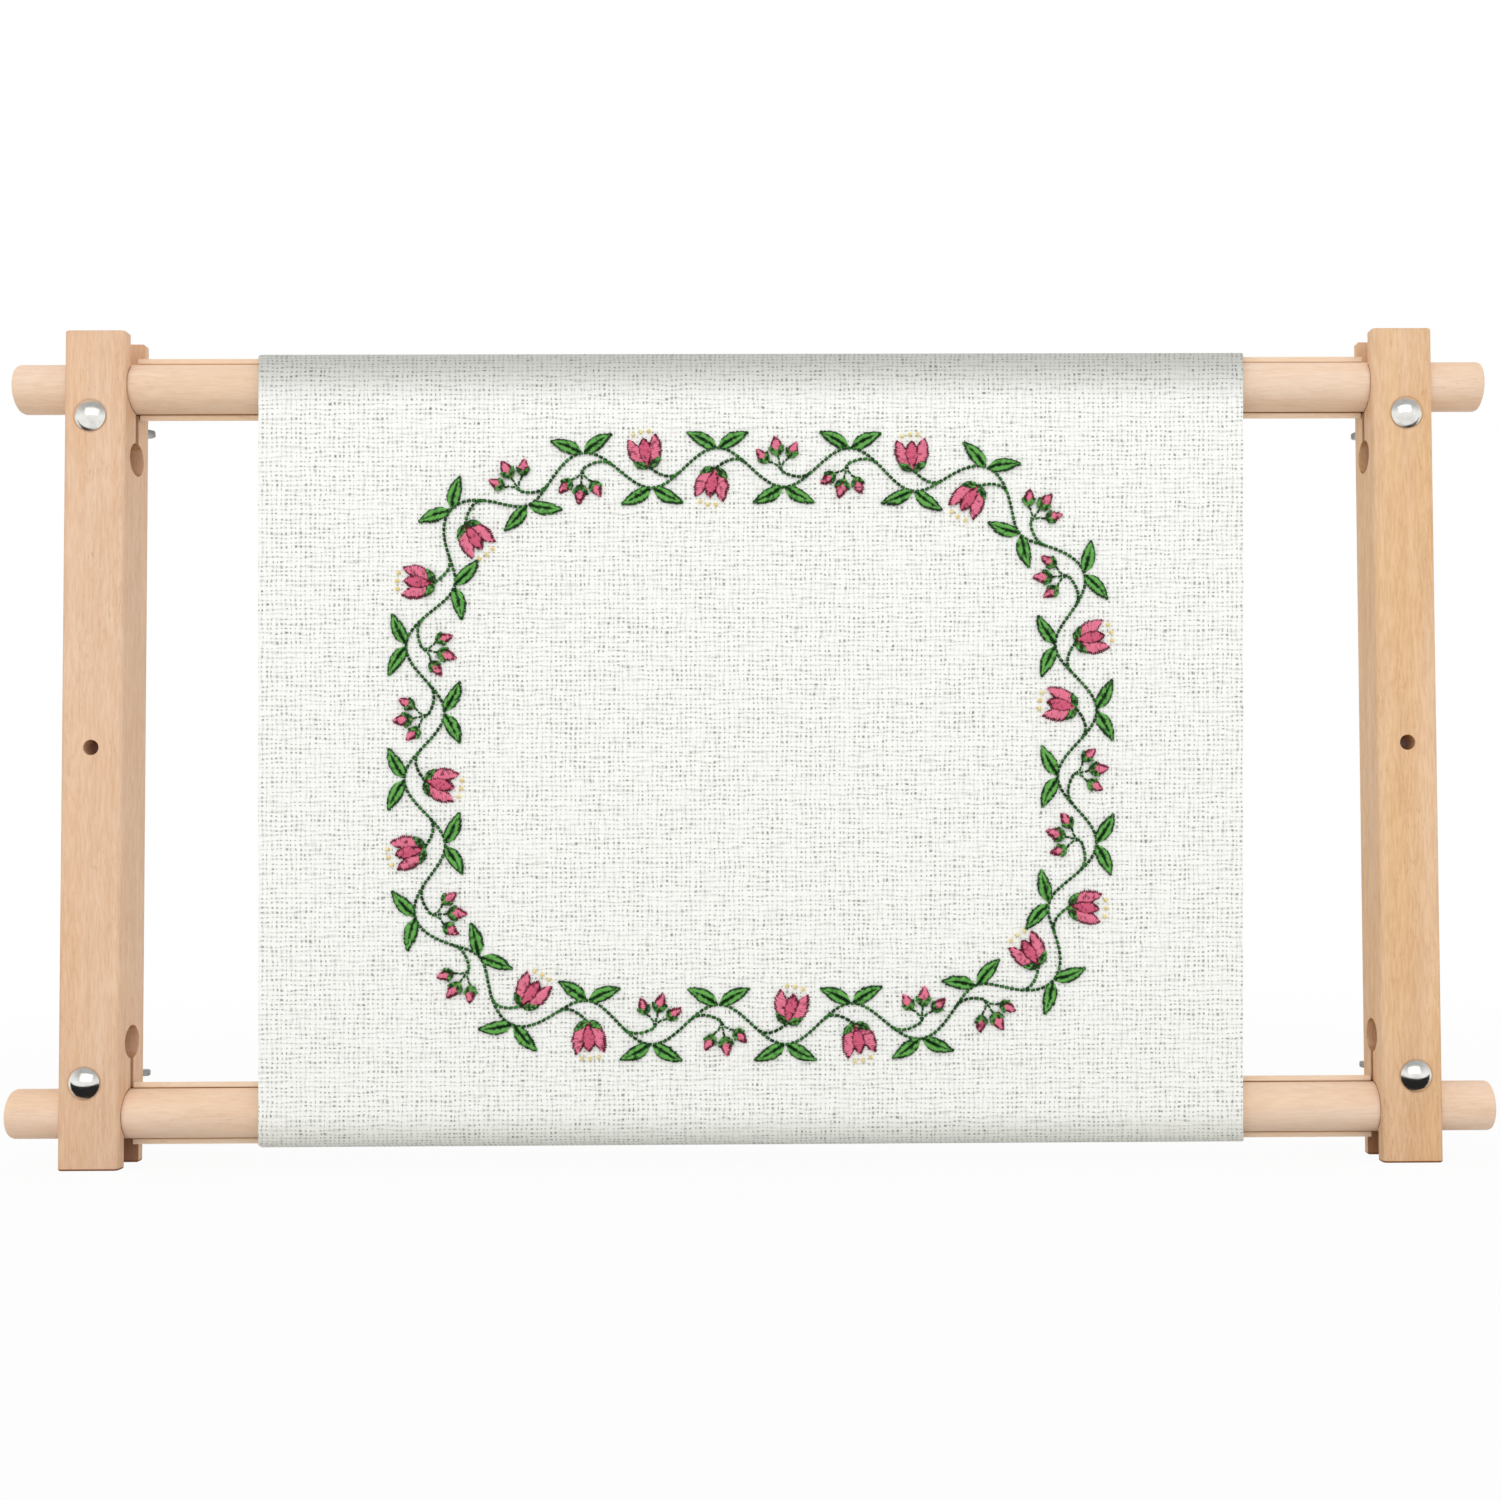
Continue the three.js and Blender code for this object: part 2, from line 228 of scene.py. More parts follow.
WOOD_LAYERS = {
    "wander": {"size": (110 * MM, 620 * MM), "shift": 0, "detail": 3},
    "pores": {"size": (0.12 * MM, 1.1 * MM), "shift": 1, "detail": 1},
    "flecks": {"size": (0.45 * MM, 3.4 * MM), "shift": 2, "detail": 1},
    "fleck areas": {"size": (9 * MM, 36 * MM), "shift": 3, "detail": 2},
    "warmth": {"size": (15 * MM, 150 * MM), "shift": 6, "detail": 2},
    "streaks": {"size": (3.2 * MM, 95 * MM), "shift": 7, "detail": 2},
    "fibres": {"size": (0.85 * MM, 7 * MM), "shift": 8, "detail": 2},
    "blotches": {"size": (9 * MM, 34 * MM), "shift": 9, "detail": 2},
}
TONE_SHARES = {"streaks": 0.28, "fibres": 0.62, "blotches": 0.3}
TONE_CENTRE = 0.15
TONE_RANGE = (0.3, 0.7)
RING_PERIOD = 5.5 * MM
RING_WANDER = 14 * MM
LATE_WOOD = (0.35, 0.97)
LATE_SHARE = 0.1
WARMTH_RANGE = (0.35, 0.7)
FLECK_RANGE = (0.56, 0.76)
FLECK_AREA_RANGE = (0.38, 0.64)
FLECK_SHARE = 0.36
END_GRAIN_RANGE = (0.6, 0.9)
END_GRAIN_TINT = (232, 214, 196)
WOOD_RELIEF = 0.05 * MM
FLECK_RISE, PORE_RISE = -0.5, 0.6
PORE_RANGE = (0.3, 0.7)
WOOD_ROUGHNESS = (0.5, 0.68)
WOOD_SPECULAR = 0.35


def wood(name, light, dark, fleck, warm, grain, pith, seed, contrast=1.0, painted_shade=None):
    """A bare sanded hardwood. Grain is its axis. Painted shade is a tint, with what gives its share."""
    finish = Finish(name)
    x, y, z = finish.separated(finish.object_place())
    along, across, depth = (z, x, y) if grain == "Z" else (x, z, y)
    place = finish.combined(across, depth, along)

    def noise(layer_name):
        layer = WOOD_LAYERS[layer_name]
        across_size, along_size = layer["size"]
        factors = (1 / across_size, 1 / across_size, 1 / along_size)
        return finish.noise(finish.scaled(place, factors, (seed, layer["shift"], seed)), layer["detail"])

    from_pith = finish.length(finish.math("SUBTRACT", across, pith[0]),
                              finish.math("SUBTRACT", depth, pith[1]))
    bent = finish.math("MULTIPLY_ADD", noise("wander"), RING_WANDER, from_pith)
    late = finish.fade(finish.math("FRACT", finish.math("DIVIDE", bent, RING_PERIOD)), *LATE_WOOD)
    pores = noise("pores")
    flecks = finish.product(finish.fade(noise("flecks"), *FLECK_RANGE),
                            finish.fade(noise("fleck areas"), *FLECK_AREA_RANGE))
    tone = finish.math("MULTIPLY_ADD", late, LATE_SHARE, -TONE_CENTRE)
    for layer_name, share in TONE_SHARES.items():
        tone = finish.math("MULTIPLY_ADD", finish.fade(noise(layer_name), *TONE_RANGE), share, tone)
    shade = finish.mix(finish.product(tone, contrast), colour(*light), colour(*dark))
    shade = finish.tinted(finish.fade(noise("warmth"), *WARMTH_RANGE), shade, warm)
    shade = finish.mix(finish.product(flecks, FLECK_SHARE), shade, colour(*fleck))
    grain_normal = finish.separated(finish.object_normal())["XYZ".index(grain)]
    end_grain = finish.fade(finish.math("ABSOLUTE", grain_normal), *END_GRAIN_RANGE)
    shade = finish.tinted(end_grain, shade, END_GRAIN_TINT)
    # Painted shade in and round the cuts, from the tint and its share.
    if painted_shade:
        tint, share_of = painted_shade
        shade = finish.tinted(share_of(finish), shade, tint)
    relief = finish.math("MULTIPLY_ADD", flecks, FLECK_RISE, finish.product(pores, PORE_RISE))
    finish.bump(relief, WOOD_RELIEF)
    roughness = finish.fade(pores, *PORE_RANGE, *WOOD_ROUGHNESS)
    return finish.set(Base_Color=shade, Roughness=roughness, Specular_IOR_Level=WOOD_SPECULAR)


# Painted shade: darker places where shade and shadow fall. Distances from a roller's surface give
# the rim of each bore and the clips' inner edges. The walls of the bars' other cuts, the wood beside
# the saw cuts and round the bolt heads, and the bars' lower ends are painted darker in part.

BORE_RIM = (0.5 * MM, 0.75 * MM)
CLIP_RIM = (0.35 * MM, 0.9 * MM)
SLOT_HALF_WIDTH = 7.1 * MM
LOW_SLOT_SHARE = 0.7
HIGH_SLOT_SHARE = 0.18
RELIEF_RISE = 119 * MM
RELIEF_RADIUS = 6.9 * MM
RELIEF_SHARE = 0.18
STAND_HOLE_RADIUS = 3.15 * MM
STAND_HOLE_SHARE = 0.3
HEAD_RING = (0.1 * MM, 1.0 * MM)
HEAD_RING_SHARE = 0.35
KERF_REACH = 1.7 * MM
KERF_SHARE = 0.45
FOOT_LINE = 0.8 * MM
FOOT_LINE_SHARE = 0.9
FOOT_SHADE = (80 * MM, 5 * MM)
FOOT_SHARE = 0.08


def rim(finish, start, end):
    """1 up to a distance from either roller, and 0 farther out."""
    _, y, z = finish.separated(finish.object_place())
    rise = finish.math("ABSOLUTE", finish.math("SUBTRACT", z, MIDDLE_Z))
    from_axis = finish.length(finish.math("SUBTRACT", y, AXIS_Y),
                              finish.math("SUBTRACT", rise, ROLLER_RISE))
    return finish.fade(from_axis, ROLLER_RADIUS + start, ROLLER_RADIUS + end, 1.0, 0.0)


def bar_painted_shade(finish):
    # The share of painted shade: bore rims, slots (more at the lower roller), relief and stand holes, the
    # lower edge and ends, beside the saw cuts and round the bolt heads.
    x, y, z = finish.separated(finish.object_place())
    outward = finish.math("ABSOLUTE", x)
    depth = finish.math("ABSOLUTE", finish.math("SUBTRACT", y, AXIS_Y))
    rise = finish.math("ABSOLUTE", finish.math("SUBTRACT", z, MIDDLE_Z))
    in_slot = finish.product(finish.math("LESS_THAN", depth, SLOT_HALF_WIDTH),
                             finish.math("GREATER_THAN", rise, ROLLER_RISE))
    slot_share = finish.fade(z, AXES["bottom"][1], AXES["top"][1], LOW_SLOT_SHARE, HIGH_SLOT_SHARE)
    from_relief = finish.length(depth, finish.math("SUBTRACT", rise, RELIEF_RISE))
    from_hole = finish.length(finish.math("SUBTRACT", outward, BAR_X), rise)
    from_bolt = finish.length(finish.math("SUBTRACT", outward, BOLT_X),
                              finish.math("SUBTRACT", rise, BOLT_RISE))
    ring_start, ring_end = (HEAD_RADIUS + gap for gap in HEAD_RING)
    by_kerf = finish.product(finish.math("LESS_THAN", depth, KERF_REACH),
                             finish.math("GREATER_THAN", rise, RELIEF_RISE),
                             finish.math("LESS_THAN", rise, ROLLER_RISE))
    share = rim(finish, *BORE_RIM)
    for other in (
        finish.product(in_slot, slot_share),
        finish.product(finish.math("LESS_THAN", from_relief, RELIEF_RADIUS), RELIEF_SHARE),
        finish.product(finish.math("LESS_THAN", from_hole, STAND_HOLE_RADIUS), STAND_HOLE_SHARE),
        finish.product(finish.math("LESS_THAN", z, FOOT_LINE), FOOT_LINE_SHARE),
        finish.product(by_kerf, KERF_SHARE),
        finish.fade(from_bolt, ring_start, ring_end, HEAD_RING_SHARE, 0.0),
        finish.fade(z, *FOOT_SHADE, 0.0, FOOT_SHARE),
    ):
        share = finish.math("MAXIMUM", share, other)
    return share


# Painted shade for the bars: a darker tint in and round their cuts, bolt heads and lower ends.
BORE_PAINTED_SHADE = ((158, 116, 88), bar_painted_shade)
# Painted shadow on the clips' inner edges beside the rollers.
CLIP_PAINTED_SHADE = ((228, 208, 186), lambda finish: rim(finish, *CLIP_RIM))

# Nickel plate with fine polishing marks

MARK_SIZE = (1.1 * MM, 1.1 * MM, 0.19 * MM)
MARK_RELIEF = 0.004 * MM
CLOUD_SIZE = (3.8 * MM, 3.8 * MM, 3.8 * MM)
PLATE_DETAIL = 3
PLATE_TONE_RANGE = (0.35, 0.75)
DULL_RANGE = (0.3, 0.7)
DULL_SHARE = 1.7


def nickel(name, light, dark, polish):
    """Polish is the roughness of the brightest places."""
    finish = Finish(name)
    place = finish.object_place()

    def noise(size):
        return finish.noise(finish.scaled(place, tuple(1 / extent for extent in size)), PLATE_DETAIL)

    cloud = noise(CLOUD_SIZE)
    roughness = finish.fade(cloud, *DULL_RANGE, polish, DULL_SHARE * polish)
    shade = finish.mix(finish.fade(cloud, *PLATE_TONE_RANGE), colour(*light), colour(*dark))
    finish.bump(noise(MARK_SIZE), MARK_RELIEF)
    return finish.set(Base_Color=shade, Roughness=roughness, Metallic=1.0)


# Cloth: a plain weave of uneven threads, laid out in the sheet's own lengths,
# with painted shade on the front where it bends over the rollers. Its layers of noise differ
# from thread to thread: the changes are for each warp and each weft that is crossed.

WEAVE_UV = "Weave"
THREAD_PITCH = 1.93 * MM
THREAD_DRIFT = 1.5
WEAVE_LAYERS = {
    "warp drift": {"changes": (0.9, 0.2), "seed": 3.0, "detail": 3.0},
    "weft drift": {"changes": (0.2, 0.9), "seed": 9.0, "detail": 3.0},
    "open areas": {"changes": (0.17, 0.17), "seed": 21.0, "detail": 3.0},
    "open holes": {"changes": (0.9, 0.9), "seed": 27.0, "detail": 2.0},
    "weft lines": {"changes": (0.28, 0.9), "seed": 33.0, "detail": 2.0},
    "warp lines": {"changes": (0.9, 0.28), "seed": 39.0, "detail": 2.0},
    "slubs": {"changes": (1.1, 1.1), "seed": 5.0, "detail": 4.0},
    "fluff": {"changes": (7.0, 7.0), "seed": 0.0, "detail": 2.0},
}
OVER_SHARE = 0.4
GAP_RANGE = (0.1, 0.92)
OPEN_AREA_FADE = (0.28, 0.58, 0.35, 1.0)
OPEN_HOLE_FADE = (0.26, 0.62, 0.15, 1.0)
OPEN_SHARE = 0.8
WEFT_LINE_RANGE = (0.4, 0.64)
WEFT_LINE_SHARE = 0.25
WARP_LINE_RANGE = (0.42, 0.66)
WARP_LINE_SHARE = 0.2
SLUB_RANGE = (0.3, 0.7)
FLUFF_SHARE = 0.15
WEAVE_RELIEF = 0.16 * MM
WHITE_THREAD = (255, 255, 253)
DULL_THREAD = (250, 251, 246)
HOLE_GREY = (118, 122, 112)
CLOTH_SHINE = {"Roughness": 0.92, "Specular_IOR_Level": 0.2, "Sheen_Weight": 0.1, "Sheen_Roughness": 0.5}
# Painted shade where the cloth turns over each roller: the tint, and its reach from the edge.
TURN_SHADE_TINTS = {"top": (195, 195, 192), "bottom": (249, 249, 247)}
TURN_SHADE_REACH = {"top": (3.5 * MM, 25 * MM), "bottom": (6 * MM, 18 * MM)}


def weave():
    finish = Finish("cloth")
    u, v, _ = finish.separated(finish.uv(WEAVE_UV))
    warp = finish.math("DIVIDE", u, THREAD_PITCH)
    weft = finish.math("DIVIDE", v, THREAD_PITCH)

    def noise(layer_name):
        layer = WEAVE_LAYERS[layer_name]
        across_warps, across_wefts = layer["changes"]
        place = finish.combined(finish.product(warp, across_warps), finish.product(weft, across_wefts),
                                layer["seed"])
        return finish.noise(place, layer["detail"])

    def ridge(threads, drift):
        """A row of threads: 0 between two, and 1 or -1 on the middle of every other one."""
        run = finish.math("ADD", threads, finish.product(drift, THREAD_DRIFT))
        return finish.math("SINE", finish.product(run, math.pi))

    wave_u = ridge(warp, noise("warp drift"))
    wave_v = ridge(weft, noise("weft drift"))
    round_u = finish.math("ABSOLUTE", wave_u)
    round_v = finish.math("ABSOLUTE", wave_v)
    crossing = finish.product(wave_u, wave_v)
    warp_over = finish.math("MULTIPLY_ADD", crossing, OVER_SHARE, 1 - OVER_SHARE)
    weft_over = finish.math("MULTIPLY_ADD", crossing, -OVER_SHARE, 1 - OVER_SHARE)
    warp_height = finish.product(finish.math("SQRT", round_u), warp_over)
    weft_height = finish.product(finish.math("SQRT", round_v), weft_over)
    height = finish.math("MAXIMUM", warp_height, weft_height)
    between_warps = finish.fade(round_u, *GAP_RANGE, 1.0, 0.0)
    between_wefts = finish.fade(round_v, *GAP_RANGE, 1.0, 0.0)
    open_weave = finish.product(finish.fade(noise("open areas"), *OPEN_AREA_FADE),
                                finish.fade(noise("open holes"), *OPEN_HOLE_FADE))
    openness = finish.math("MULTIPLY_ADD", open_weave, OPEN_SHARE, 1 - OPEN_SHARE)
    holes = finish.product(between_warps, between_wefts, openness)
    weft_lines = finish.product(between_wefts, finish.fade(noise("weft lines"), *WEFT_LINE_RANGE),
                                WEFT_LINE_SHARE)
    warp_lines = finish.product(between_warps, finish.fade(noise("warp lines"), *WARP_LINE_RANGE),
                                WARP_LINE_SHARE)
    darkness = finish.math("MAXIMUM", holes, finish.math("MAXIMUM", weft_lines, warp_lines))
    slubs = finish.fade(noise("slubs"), *SLUB_RANGE)
    shade = finish.mix(slubs, colour(*WHITE_THREAD), colour(*DULL_THREAD))
    shade = finish.mix(darkness, shade, colour(*HOLE_GREY))
    # Painted shade: greyer on the front where the cloth turns over the top and bottom rollers.
    _, y, z = finish.separated(finish.object_place())
    in_front = finish.fade(y, AXIS_Y, AXIS_Y + TURN_RADIUS, 1.0, 0.0)
    for end, sign in (("top", 1), ("bottom", -1)):
        edge = AXES[end][1] + sign * TURN_RADIUS
        near, far = TURN_SHADE_REACH[end]
        share = finish.fade(z, edge - sign * far, edge - sign * near)
        shade = finish.tinted(finish.product(share, in_front), shade, TURN_SHADE_TINTS[end])
    finish.bump(finish.math("MULTIPLY_ADD", noise("fluff"), FLUFF_SHARE, height), WEAVE_RELIEF)
    return finish.set(Base_Color=shade, **CLOTH_SHINE)


# Sheets of cloth as closed meshes: a section's middle line in (y, z), and a width along x.
# The cloth is cut a little out of square, and spreads where it bends over the rollers.

CLOTH_THICKNESS = 0.5 * MM
SHEET_STEP = 3 * MM
EDGE_SHARES = (0, 0.13, 0.5)
CUT_SHIFTS = {
    "left": {"bottom": 1.5 * MM, "top": -0.3 * MM},
    "right": {"bottom": -1.8 * MM, "top": 1.7 * MM},
}
SPREAD_SHARES = {"left": -0.35, "right": 0.25}
SPREAD_LIMIT = 2.4 * MM
EDGE_SCATTER = 0.1 * MM
TURN_SWEEP = math.radians(325)
TURN_STEPS = 64
RANDOM_SEED = 5

rng = np.random.default_rng(RANDOM_SEED)


def link_mesh(name, vertices, faces, material):
    mesh = bpy.data.meshes.new(name)
    mesh.from_pydata(vertices, [], faces)
    mesh.materials.append(material)
    mesh.polygons.foreach_set("use_smooth", [True] * len(mesh.polygons))
    made = bpy.data.objects.new(name, mesh)
    bpy.context.scene.collection.objects.link(made)
    return made


def map_corners(made, map_name, places):
    """Gives each vertex its place in a named map."""
    layer = made.data.uv_layers.new(name=map_name)
    corner = np.zeros(len(made.data.loops), np.int32)
    made.data.loops.foreach_get("vertex_index", corner)
    layer.data.foreach_set("uv", places[corner].astype(np.float32).ravel())


def arc(centre, radius, start, end, steps):
    """Points of an arc in (y, z), with their outward normals."""
    angles = np.linspace(start, end, steps + 1)
    normals = np.stack([np.cos(angles), np.sin(angles)], axis=1)
    return np.array(centre) + radius * normals, normals


def columns():
    """Places across a sheet, close together at its rounded edges, and the share of its thickness there."""
    inner = CLOTH_HALF_WIDTH - CLOTH_THICKNESS / 2
    count = round(2 * inner / SHEET_STEP)
    edge = [(CLOTH_HALF_WIDTH - s * CLOTH_THICKNESS / 2, math.sqrt(1 - (1 - s) ** 2)) for s in EDGE_SHARES]
    middle = [(x, 1.0) for x in np.linspace(-inner, inner, count + 1)]
    left = [(-x, thick) for x, thick in edge]
    return np.array(left + middle + edge[::-1])


def edge_shifts(middle, side):
    """How far the cloth's side edge lies from its nominal place, for each point of the middle line."""
    share = np.clip((middle[:, 1] - AXES["bottom"][1]) / (2 * ROLLER_RISE), 0, 1)
    cut = CUT_SHIFTS[side]["bottom"] * (1 - share) + CUT_SHIFTS[side]["top"] * share
    spread = SPREAD_SHARES[side] * (middle[:, 0] - CLOTH_FRONT)
    return cut + np.clip(spread, -SPREAD_LIMIT, SPREAD_LIMIT) + rng.normal(0, EDGE_SCATTER, len(middle))


def sheet_mesh(name, middle, normals, material):
    """A sheet of the cloth's thickness, and its length along the section."""
    steps = np.linalg.norm(np.diff(middle, axis=0), axis=1)
    run = np.concatenate([[0.0], np.cumsum(steps)])
    across = columns()
    count = len(across)
    flat_x = np.concatenate([across[:, 0], across[-2:0:-1, 0]])
    side = np.concatenate([across[:, 1], -across[-2:0:-1, 1]])
    ring = len(flat_x)
    rightness = (flat_x / CLOTH_HALF_WIDTH + 1) / 2
    left_shift, right_shift = (edge_shifts(middle, s)[:, None] for s in SIDES)
    x = flat_x + left_shift * (1 - rightness) + right_shift * rightness
    offset = side * CLOTH_THICKNESS / 2
    y = middle[:, 0, None] + normals[:, 0, None] * offset
    z = middle[:, 1, None] + normals[:, 1, None] * offset
    faces = []
    for row in range(len(run) - 1):
        for k in range(ring):
            a, b = row * ring + k, row * ring + (k + 1) % ring
            faces.append((a, b, b + ring, a + ring))
    for row, turn in ((0, -1), (len(run) - 1, 1)):
        base = row * ring
        for k in range(count - 1):
            quad = (base + k, base + k + 1, base + ring - k - 1, base + (ring - k) % ring)
            faces.append(tuple(dict.fromkeys(quad[::turn])))
    made = link_mesh(name, np.stack([x, y, z], axis=2).reshape(-1, 3).tolist(), faces, material)
    flat = np.stack([np.tile(flat_x, len(run)), np.repeat(run, ring)], axis=1)
    map_corners(made, WEAVE_UV, flat)
    return made, run[-1]


def panel_section():
    """Round the top roller, straight down the front, and round the bottom roller."""
    radius = TURN_RADIUS - CLOTH_THICKNESS / 2
    top, top_normals = arc(AXES["top"], radius, math.pi - TURN_SWEEP, math.pi, TURN_STEPS)
    bottom, bottom_normals = arc(AXES["bottom"], radius, math.pi, math.pi + TURN_SWEEP, TURN_STEPS)
    steps = round(2 * ROLLER_RISE / SHEET_STEP)
    front_z = np.linspace(AXES["top"][1], AXES["bottom"][1], steps + 1)[1:-1]
    front = np.stack([np.full_like(front_z, AXIS_Y - radius), front_z], axis=1)
    front_normals = np.tile([-1.0, 0.0], (len(front_z), 1))
    normals = np.concatenate([top_normals, front_normals, bottom_normals])
    return np.concatenate([top, front, bottom]), normals


cloth_finish = weave()
panel, panel_length = sheet_mesh("cloth_panel", *panel_section(), cloth_finish)
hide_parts("cloth")
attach(panel, "left_bar")

WOUND_GAP = 0.15 * MM
WOUND_END_ANGLE = 0.05
WOUND_STEPS = 28
CLIP_TURNS = {"top": math.radians(6), "bottom": 0.0}


def wound_section(end):
    """A taut loop round roller and clip that leaves each clip edge in a straight line."""
    over_clip = CLIP_RADIUS + WOUND_GAP + CLOTH_THICKNESS / 2
    over_roller = ROLLER_RADIUS + WOUND_GAP + CLOTH_THICKNESS / 2
    touch = math.pi / 2 + math.acos(over_roller / over_clip)
    last = 2 * math.pi - touch - WOUND_END_ANGLE
    turn = CLIP_TURNS[end]
    clip, clip_normals = arc(AXES[end], over_clip, turn - math.pi / 2, turn + math.pi / 2, WOUND_STEPS)
    roller, roller_normals = arc(AXES[end], over_roller, turn + touch, turn + last, WOUND_STEPS)
    return np.concatenate([clip, roller]), np.concatenate([clip_normals, roller_normals])


for end in ENDS:
    wound, wound_length = sheet_mesh(f"cloth_turn_{end}", *wound_section(end), cloth_finish)
    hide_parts(f"cloth_wound_{end}")
    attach(wound, f"{end}_roller")

# Stitches: each is a short padded length of thread from one point of the panel, (x, z), to another.
# A station gives the share along the stitch, the share of its width, and its height in half widths.

STATIONS = ((0.0, 0.5, -0.6), (0.14, 1.0, 1.0), (0.86, 1.0, 1.0), (1.0, 0.5, -0.6))
STITCH_SIDES = 5
STITCH_FLATNESS = 0.42
SATIN_LIFT = 0.22 * MM
SATIN_CROWN = 0.4 * MM

# Thread: painted shade where a stitch dips or lies low, with chance changes by stitch and by place

THREAD_UV = "Thread"
DIP_REACH = (0.6 * MM, 1.6 * MM)
DIP_LENGTHS = (0.8 * MM, 4 * MM)
DIP_SHARES = (0.5, 1.0)
SUNK_SHARE = 0.5
CHANCE_STEP = 0.02 * MM
CHANCE_CENTRE = 0.48
CHANCE_SPREAD = 1.4
PATCH_SIZE = 1.3 * MM
PATCH_SPREAD = 1.8
STRAND_STEP = 0.5 * MM
STRAND_RELIEF = 0.05 * MM
COTTON_SHINE = {"Roughness": 0.45, "Specular_IOR_Level": 0.22, "Sheen_Weight": 0.06}


def stitch_faces(count):
    """The faces of a number of stitches whose vertices follow each other."""
    size = len(STATIONS) * STITCH_SIDES
    one = []
    for low in range(0, size - STITCH_SIDES, STITCH_SIDES):
        for k in range(STITCH_SIDES):
            n = (k + 1) % STITCH_SIDES
            one.append((low + k, low + n, low + n + STITCH_SIDES, low + k + STITCH_SIDES))
    one.append(tuple(range(STITCH_SIDES - 1, -1, -1)))
    one.append(tuple(range(size - STITCH_SIDES, size)))
    return [tuple(first + k for k in face) for first in range(0, count * size, size) for face in one]


class Thread:
    """All stitches of one colour."""

    def __init__(self, light, dark):
        self.light, self.dark = light, dark
        self.stitches = []

    def stitch(self, start, end, width, lift):
        self.stitches.append((*start, *end, width, lift))

    def build(self, name):
        rows = np.array(self.stitches)
        count = len(rows)
        start, end, width, lift = rows[:, 0:2], rows[:, 2:4], rows[:, 4:5], rows[:, 5:6]
        along = end - start
        ahead = along / np.linalg.norm(along, axis=1)[:, None]
        aside = np.stack([-ahead[:, 1], ahead[:, 0]], axis=1)
        angles = math.pi / 2 + np.arange(STITCH_SIDES) * 2 * math.pi / STITCH_SIDES
        rings = []
        for share, breadth, rise in STATIONS:
            centre = start + along * share
            reach = breadth * width / 2 * np.cos(angles)
            middle = max(rise, 0) * lift + rise * width * STITCH_FLATNESS
            out = middle + breadth * width * STITCH_FLATNESS * np.sin(angles)
            x = centre[:, 0:1] + aside[:, 0:1] * reach
            z = centre[:, 1:2] + aside[:, 1:2] * reach
            rings.append(np.stack([x, CLOTH_FRONT - out, z], axis=2))
        points = np.stack(rings, axis=1).reshape(-1, 3)
        made = link_mesh(name, points.tolist(), stitch_faces(count), self.finish(name))
        share = np.tile(np.repeat([station[0] for station in STATIONS], STITCH_SIDES), count)
        length = np.repeat(np.linalg.norm(along, axis=1), len(STATIONS) * STITCH_SIDES)
        map_corners(made, THREAD_UV, np.stack([share * length, length], axis=1))
        return made

    def finish(self, name):
        """Stranded cotton, each stitch a little different."""
        finish = Finish(name)
        run, length, _ = finish.separated(finish.uv(THREAD_UV))
        _, y, _ = finish.separated(finish.object_place())
        # Painted shade at a stitch's ends, where it dips into the cloth, and where it lies low.
        from_end = finish.math("MINIMUM", run, finish.math("SUBTRACT", length, run))
        dip_shade = finish.product(finish.fade(from_end, *DIP_REACH, 1.0, 0.0),
                              finish.fade(length, *DIP_LENGTHS, *DIP_SHARES))
        sunk_shade = finish.fade(y, CLOTH_FRONT - SATIN_LIFT - SATIN_CROWN, CLOTH_FRONT)
        tone = finish.math("MAXIMUM", dip_shade, finish.product(sunk_shade, SUNK_SHARE))
        by_stitch = finish.combined(finish.product(length, 1 / CHANCE_STEP), 0.0, 0.0)
        by_place = finish.scaled(finish.object_place(), (1 / PATCH_SIZE,) * 3)
        for vector, spread in ((by_stitch, CHANCE_SPREAD), (by_place, PATCH_SPREAD)):
            chance = finish.math("SUBTRACT", finish.noise(vector, 0.0), CHANCE_CENTRE)
            tone = finish.math("MULTIPLY_ADD", chance, spread, tone)
        shade = finish.mix(finish.fade(tone, 0.0, 1.0), colour(*self.light), colour(*self.dark))
        strands = finish.noise(finish.combined(finish.product(run, 1 / STRAND_STEP), length, 0.0))
        finish.bump(strands, STRAND_RELIEF)
        return finish.set(Base_Color=shade, **COTTON_SHINE)


# Ways to stitch: satin and fishbone stitch for petals and leaves, and a rope of short stitches for stems

SATIN_WIDTH = 0.84 * MM
SATIN_PITCH = 0.7 * MM
OVERLAY_LIFT = 0.3 * MM
FISHBONE_REACH = 0.26
STEM_WIDTH = 1.25 * MM
STEM_STITCH = 2.1 * MM
STEM_OVERLAP = -0.1 * MM
STEM_SLANT = math.radians(9)
OUTLINE_SCATTER = 0.14 * MM
LAST_SHARE = 0.985
FULLNESS_POWER = 0.85
BOW_STEPS = 12


def turned(direction, angle):
    c, s = math.cos(angle), math.sin(angle)
    return np.array([c * direction[0] - s * direction[1], s * direction[0] + c * direction[1]])


def unit(vector):
    return vector / np.linalg.norm(vector)


